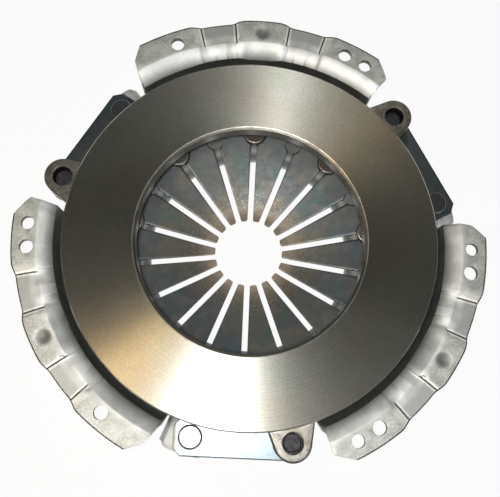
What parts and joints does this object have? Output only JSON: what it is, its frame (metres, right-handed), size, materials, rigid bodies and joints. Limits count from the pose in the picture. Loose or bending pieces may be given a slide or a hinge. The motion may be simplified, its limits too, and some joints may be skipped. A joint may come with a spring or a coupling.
{
  "type": "clutch pressure plate",
  "caption": "Diaphragm-spring clutch cover assembly: a stepped flange cover, strap-driven pressure plate, slotted diaphragm spring and its fulcrum rings and rivets.",
  "frame": {"origin": "on the clutch axis, in the plane of the flange pads that bolt to the flywheel", "axes": "+Z points at the flywheel; the friction face looks along +Z, and the diaphragm fingers are behind it at -Z; +X and +Y lie across, with the right-hand drive strap's lug at 41 degrees from +X"},
  "size_m": [0.304, 0.2929, 0.0576],
  "materials": {
    "cover_steel": "satin pressed steel, lightly oiled",
    "cast_iron": "ground friction face, as-cast lugs",
    "spring_steel": "tempered, dark blue-grey",
    "wire_steel": "drawn wire",
    "stud_steel": "phosphated, dull",
    "rivet_steel": "plain steel",
    "strap_steel": "blued spring steel"
  },
  "bodies": {
    "cover": {"cover": "cover_steel", "diaphragm_spring": "spring_steel", "fulcrum_ring_front": "wire_steel", "fulcrum_ring_rear": "wire_steel", "stud_rivet_1": "stud_steel", "stud_rivet_2": "stud_steel", "stud_rivet_3": "stud_steel", "stud_rivet_4": "stud_steel", "stud_rivet_5": "stud_steel", "stud_rivet_6": "stud_steel", "stud_rivet_7": "stud_steel", "stud_rivet_8": "stud_steel", "stud_rivet_9": "stud_steel", "cover_strap_rivet_1": "rivet_steel", "cover_strap_rivet_2": "rivet_steel", "cover_strap_rivet_3": "rivet_steel", "strap_1_leaf_1": "strap_steel", "strap_1_leaf_2": "strap_steel", "strap_1_leaf_3": "strap_steel", "strap_2_leaf_1": "strap_steel", "strap_2_leaf_2": "strap_steel", "strap_2_leaf_3": "strap_steel", "strap_3_leaf_1": "strap_steel", "strap_3_leaf_2": "strap_steel", "strap_3_leaf_3": "strap_steel"},
    "pressure_plate": {"pressure_plate": "cast_iron", "plate_strap_rivet_1": "rivet_steel", "plate_strap_rivet_2": "rivet_steel", "plate_strap_rivet_3": "rivet_steel"}
  },
  "joints": [
    {"name": "plate_lift", "type": "slide", "parent": "cover", "child": "pressure_plate", "axis": [0, 0, 1], "range_m": [-0.004, 0], "stiffness_N_per_m": 100000, "springref_m": 0.002, "deforming": ["diaphragm_spring", "strap_1_leaf_1", "strap_1_leaf_2", "strap_1_leaf_3", "strap_2_leaf_1", "strap_2_leaf_2", "strap_2_leaf_3", "strap_3_leaf_1", "strap_3_leaf_2", "strap_3_leaf_3"]}
  ]
}
